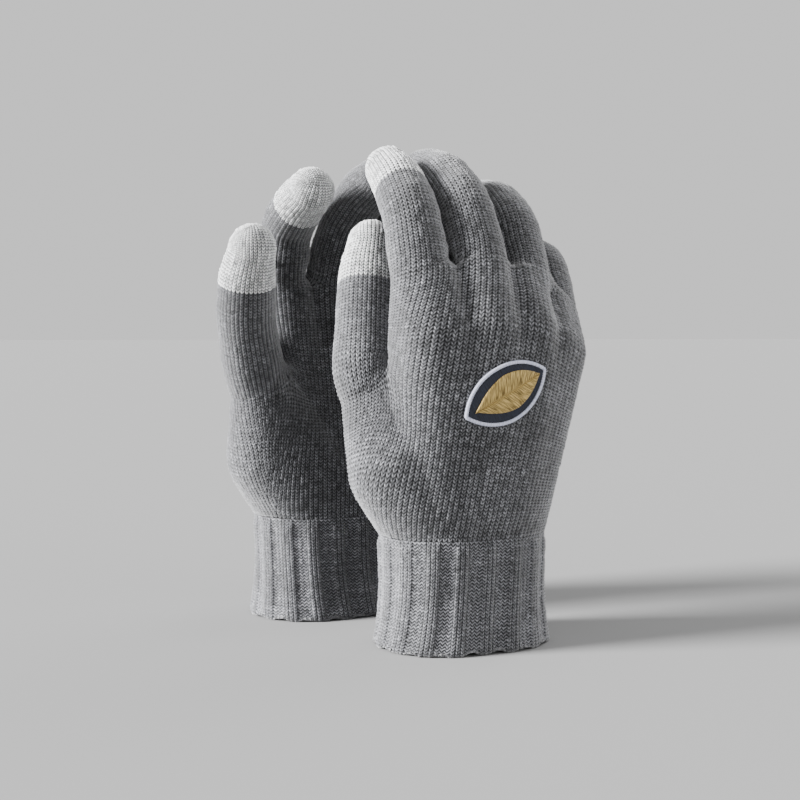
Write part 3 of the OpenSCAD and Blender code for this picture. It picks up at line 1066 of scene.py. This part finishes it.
def inside_pieces(side, tape, elastic):
    """The sewn-in care label and the elastic threads in the cuff."""
    low, high = (np.array(c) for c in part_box(f"{side}_care_label"))
    centre, size = (low + high) / 2, high - low
    us, vs = np.linspace(-0.5, 0.5, 13), np.linspace(-0.5, 0.5, 19)
    inward = -1 if side == "right" else 1
    rows, uv = [], []
    for face in (1, -1):
        for v in (vs if face == 1 else vs[::-1]):
            bow = 0.0006 * math.sin((v + 0.5) * math.pi) * inward
            rows.append([centre + (u * size[0], bow + face * 0.00015 * inward, v * size[2])
                         for u in us])
            uv.append([(u * 16, v * 24) for u in us])
    quads = grid_quads(rows)
    corner = np.array(uv).reshape(-1, 2)[quads]
    obj = mesh_object(f"{side}_care_label_tape", np.array(rows).reshape(-1, 3), quads, tape,
                      uv=corner)
    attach(obj, f"{side}_glove")
    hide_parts(f"{side}_care_label")
    elastic_threads(side, elastic)


def elastic_threads(side, elastic):
    """Rounds of covered elastic in the cuff: a core wound with fine thread."""
    around = np.linspace(0, 2 * math.pi, ELASTIC_SIDES, endpoint=False)
    points, quads, uv = [], [], []
    count = ELASTIC_STEPS * ELASTIC_SIDES
    for k in range(ELASTIC_ROUNDS):
        height = (k + 1) * CUFF_H / (ELASTIC_ROUNDS + 1)
        rows = []
        for i in range(ELASTIC_STEPS):
            f = i / ELASTIC_STEPS
            here = wrist_point(f)
            half = 0.5 / ELASTIC_STEPS
            along = unit(wrist_point(f + half) - wrist_point(f - half))
            out = np.array([along[1], -along[0]])
            wound = ELASTIC_R * (1 + 0.14 * np.cos(3 * around - 0.9 * i))
            inset = cuff_offset(height) - RIM_R + rib_lift(f * RIB_WALES - wale_drift(height))
            ring = here + out * inset + out * (np.cos(around) * wound)[:, None]
            rows.append(np.column_stack([ring, height + np.sin(around) * wound]))
        ids = np.arange(count).reshape(ELASTIC_STEPS, ELASTIC_SIDES)
        nxt = np.roll(ids, -1, 0)
        quad = np.stack([ids, np.roll(ids, -1, 1), np.roll(nxt, -1, 1), nxt], -1).reshape(-1, 4)
        points.append(np.array(rows).reshape(-1, 3))
        quads.append(quad + k * count)
        uv.append(np.stack([quad // ELASTIC_SIDES * 0.6, quad % ELASTIC_SIDES * 0.2], 2))
    quads, uv = np.vstack(quads), np.vstack(uv)
    if side == "left":
        quads, uv = quads[:, ::-1], uv[:, ::-1]
    obj = mesh_object(f"{side}_elastic_threads", place(side, np.vstack(points)), quads, elastic,
                      uv=uv)
    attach(obj, f"{side}_glove")
    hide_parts(f"{side}_cuff_elastic")


# ---- the scene ------------------------------------------------------------------------

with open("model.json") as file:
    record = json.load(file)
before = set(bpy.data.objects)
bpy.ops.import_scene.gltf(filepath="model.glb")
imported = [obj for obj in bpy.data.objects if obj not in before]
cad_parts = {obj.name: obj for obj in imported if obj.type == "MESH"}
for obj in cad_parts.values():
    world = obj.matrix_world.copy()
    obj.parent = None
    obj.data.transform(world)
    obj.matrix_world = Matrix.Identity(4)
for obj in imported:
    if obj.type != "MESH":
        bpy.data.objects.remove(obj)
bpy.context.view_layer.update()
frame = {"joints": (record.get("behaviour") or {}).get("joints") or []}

for side in SIDES:
    for digit in ORDER:
        path = digit_path(side, digit)
        knuckle, _, runs, _ = DIGITS[digit]
        root_fold = path["at"][0] + path["axes"][0][:, 2] * FOLD_HALF
        gap = place(side, root_fold) - np.array(joint_of(f"{side}_{digit}_root_bend")["pos_m"])
        assert np.linalg.norm(gap) < 0.0005, f"{side} {digit} is off its joint by {gap}"

heather = yarn_material("heather_grey_knit", grey(0.016), grey(0.11), grey(0.38), 1.25)
ribbed = yarn_material("heather_grey_rib", grey(0.016), grey(0.125), grey(0.40), 1.25)
pale = yarn_material("conductive_knit", grey(0.52, 0.99), grey(0.68, 0.99), grey(0.82, 0.99))
border = thread_material("border_thread", (0.42, 0.45, 0.62), (0.78, 0.80, 0.92), 0.27)
ground = thread_material("ground_thread", (0.003, 0.004, 0.010), (0.014, 0.019, 0.038), 0.32)
leaf = thread_material("leaf_thread", (0.13, 0.08, 0.012), (0.66, 0.47, 0.16), 0.5)
tape = thread_material("label_tape", (0.70, 0.69, 0.64), (0.86, 0.85, 0.80), 0.3)
elastic = thread_material("elastic_thread", (0.62, 0.60, 0.55), (0.80, 0.78, 0.72), 0.3)

rng = np.random.default_rng(11)
for side in SIDES:
    net = knit_glove(side, heather, pale, rng)
    knit_cuff(side, ribbed, rng)
    patch(side, net, border, ground, leaf)
    inside_pieces(side, tape, elastic)

floor_mesh = bpy.data.meshes.new("floor")
floor_mesh.from_pydata([(-40, -40, 0), (40, -40, 0), (40, 40, 0), (-40, 40, 0)], [], [(0, 1, 2, 3)])
floor = bpy.data.objects.new("floor", floor_mesh)
bpy.context.scene.collection.objects.link(floor)
paper, _, _, paper_bsdf = shader("floor_paper", 1.0)
paper_bsdf.inputs["Base Color"].default_value = (0.265, 0.265, 0.265, 1)
floor_mesh.materials.append(paper)


def sun(name, at, angle, power):
    """A soft sun that shines from a place to the middle of the gloves."""
    data = bpy.data.lights.new(name, "SUN")
    data.energy = power
    data.angle = math.radians(angle)
    obj = bpy.data.objects.new(name, data)
    obj.location = at
    aim = np.array((0, 0, 0.1)) - np.array(at)
    yaw = math.atan2(aim[1], aim[0]) - math.pi / 2
    pitch = math.atan2(aim[2], math.hypot(aim[0], aim[1])) + math.pi / 2
    obj.rotation_euler = (pitch, 0, yaw)
    bpy.context.scene.collection.objects.link(obj)


sun("key", (-1.0, 0.2, 0.55), 18, 16.0)
sun("rim", (1.0, 0.35, 0.9), 40, 0.9)
sun("fill", (0.55, -0.9, 0.4), 45, 1.0)
world = bpy.data.worlds.new("studio")
world.use_nodes = True
world.node_tree.nodes["Background"].inputs[0].default_value = (1, 1, 1, 1)
world.node_tree.nodes["Background"].inputs[1].default_value = 0.85
bpy.context.scene.world = world

camera_data = bpy.data.cameras.new("camera")
camera_data.lens = 58.2
camera_data.shift_x = -0.0775
camera = bpy.data.objects.new("camera", camera_data)
camera.location = wrist_origin("right") + np.array((-0.2367, -0.4853, 0.128))
camera.rotation_euler = (math.radians(90 - 2.85), 0, math.radians(-26))
bpy.context.scene.collection.objects.link(camera)
bpy.context.scene.camera = camera
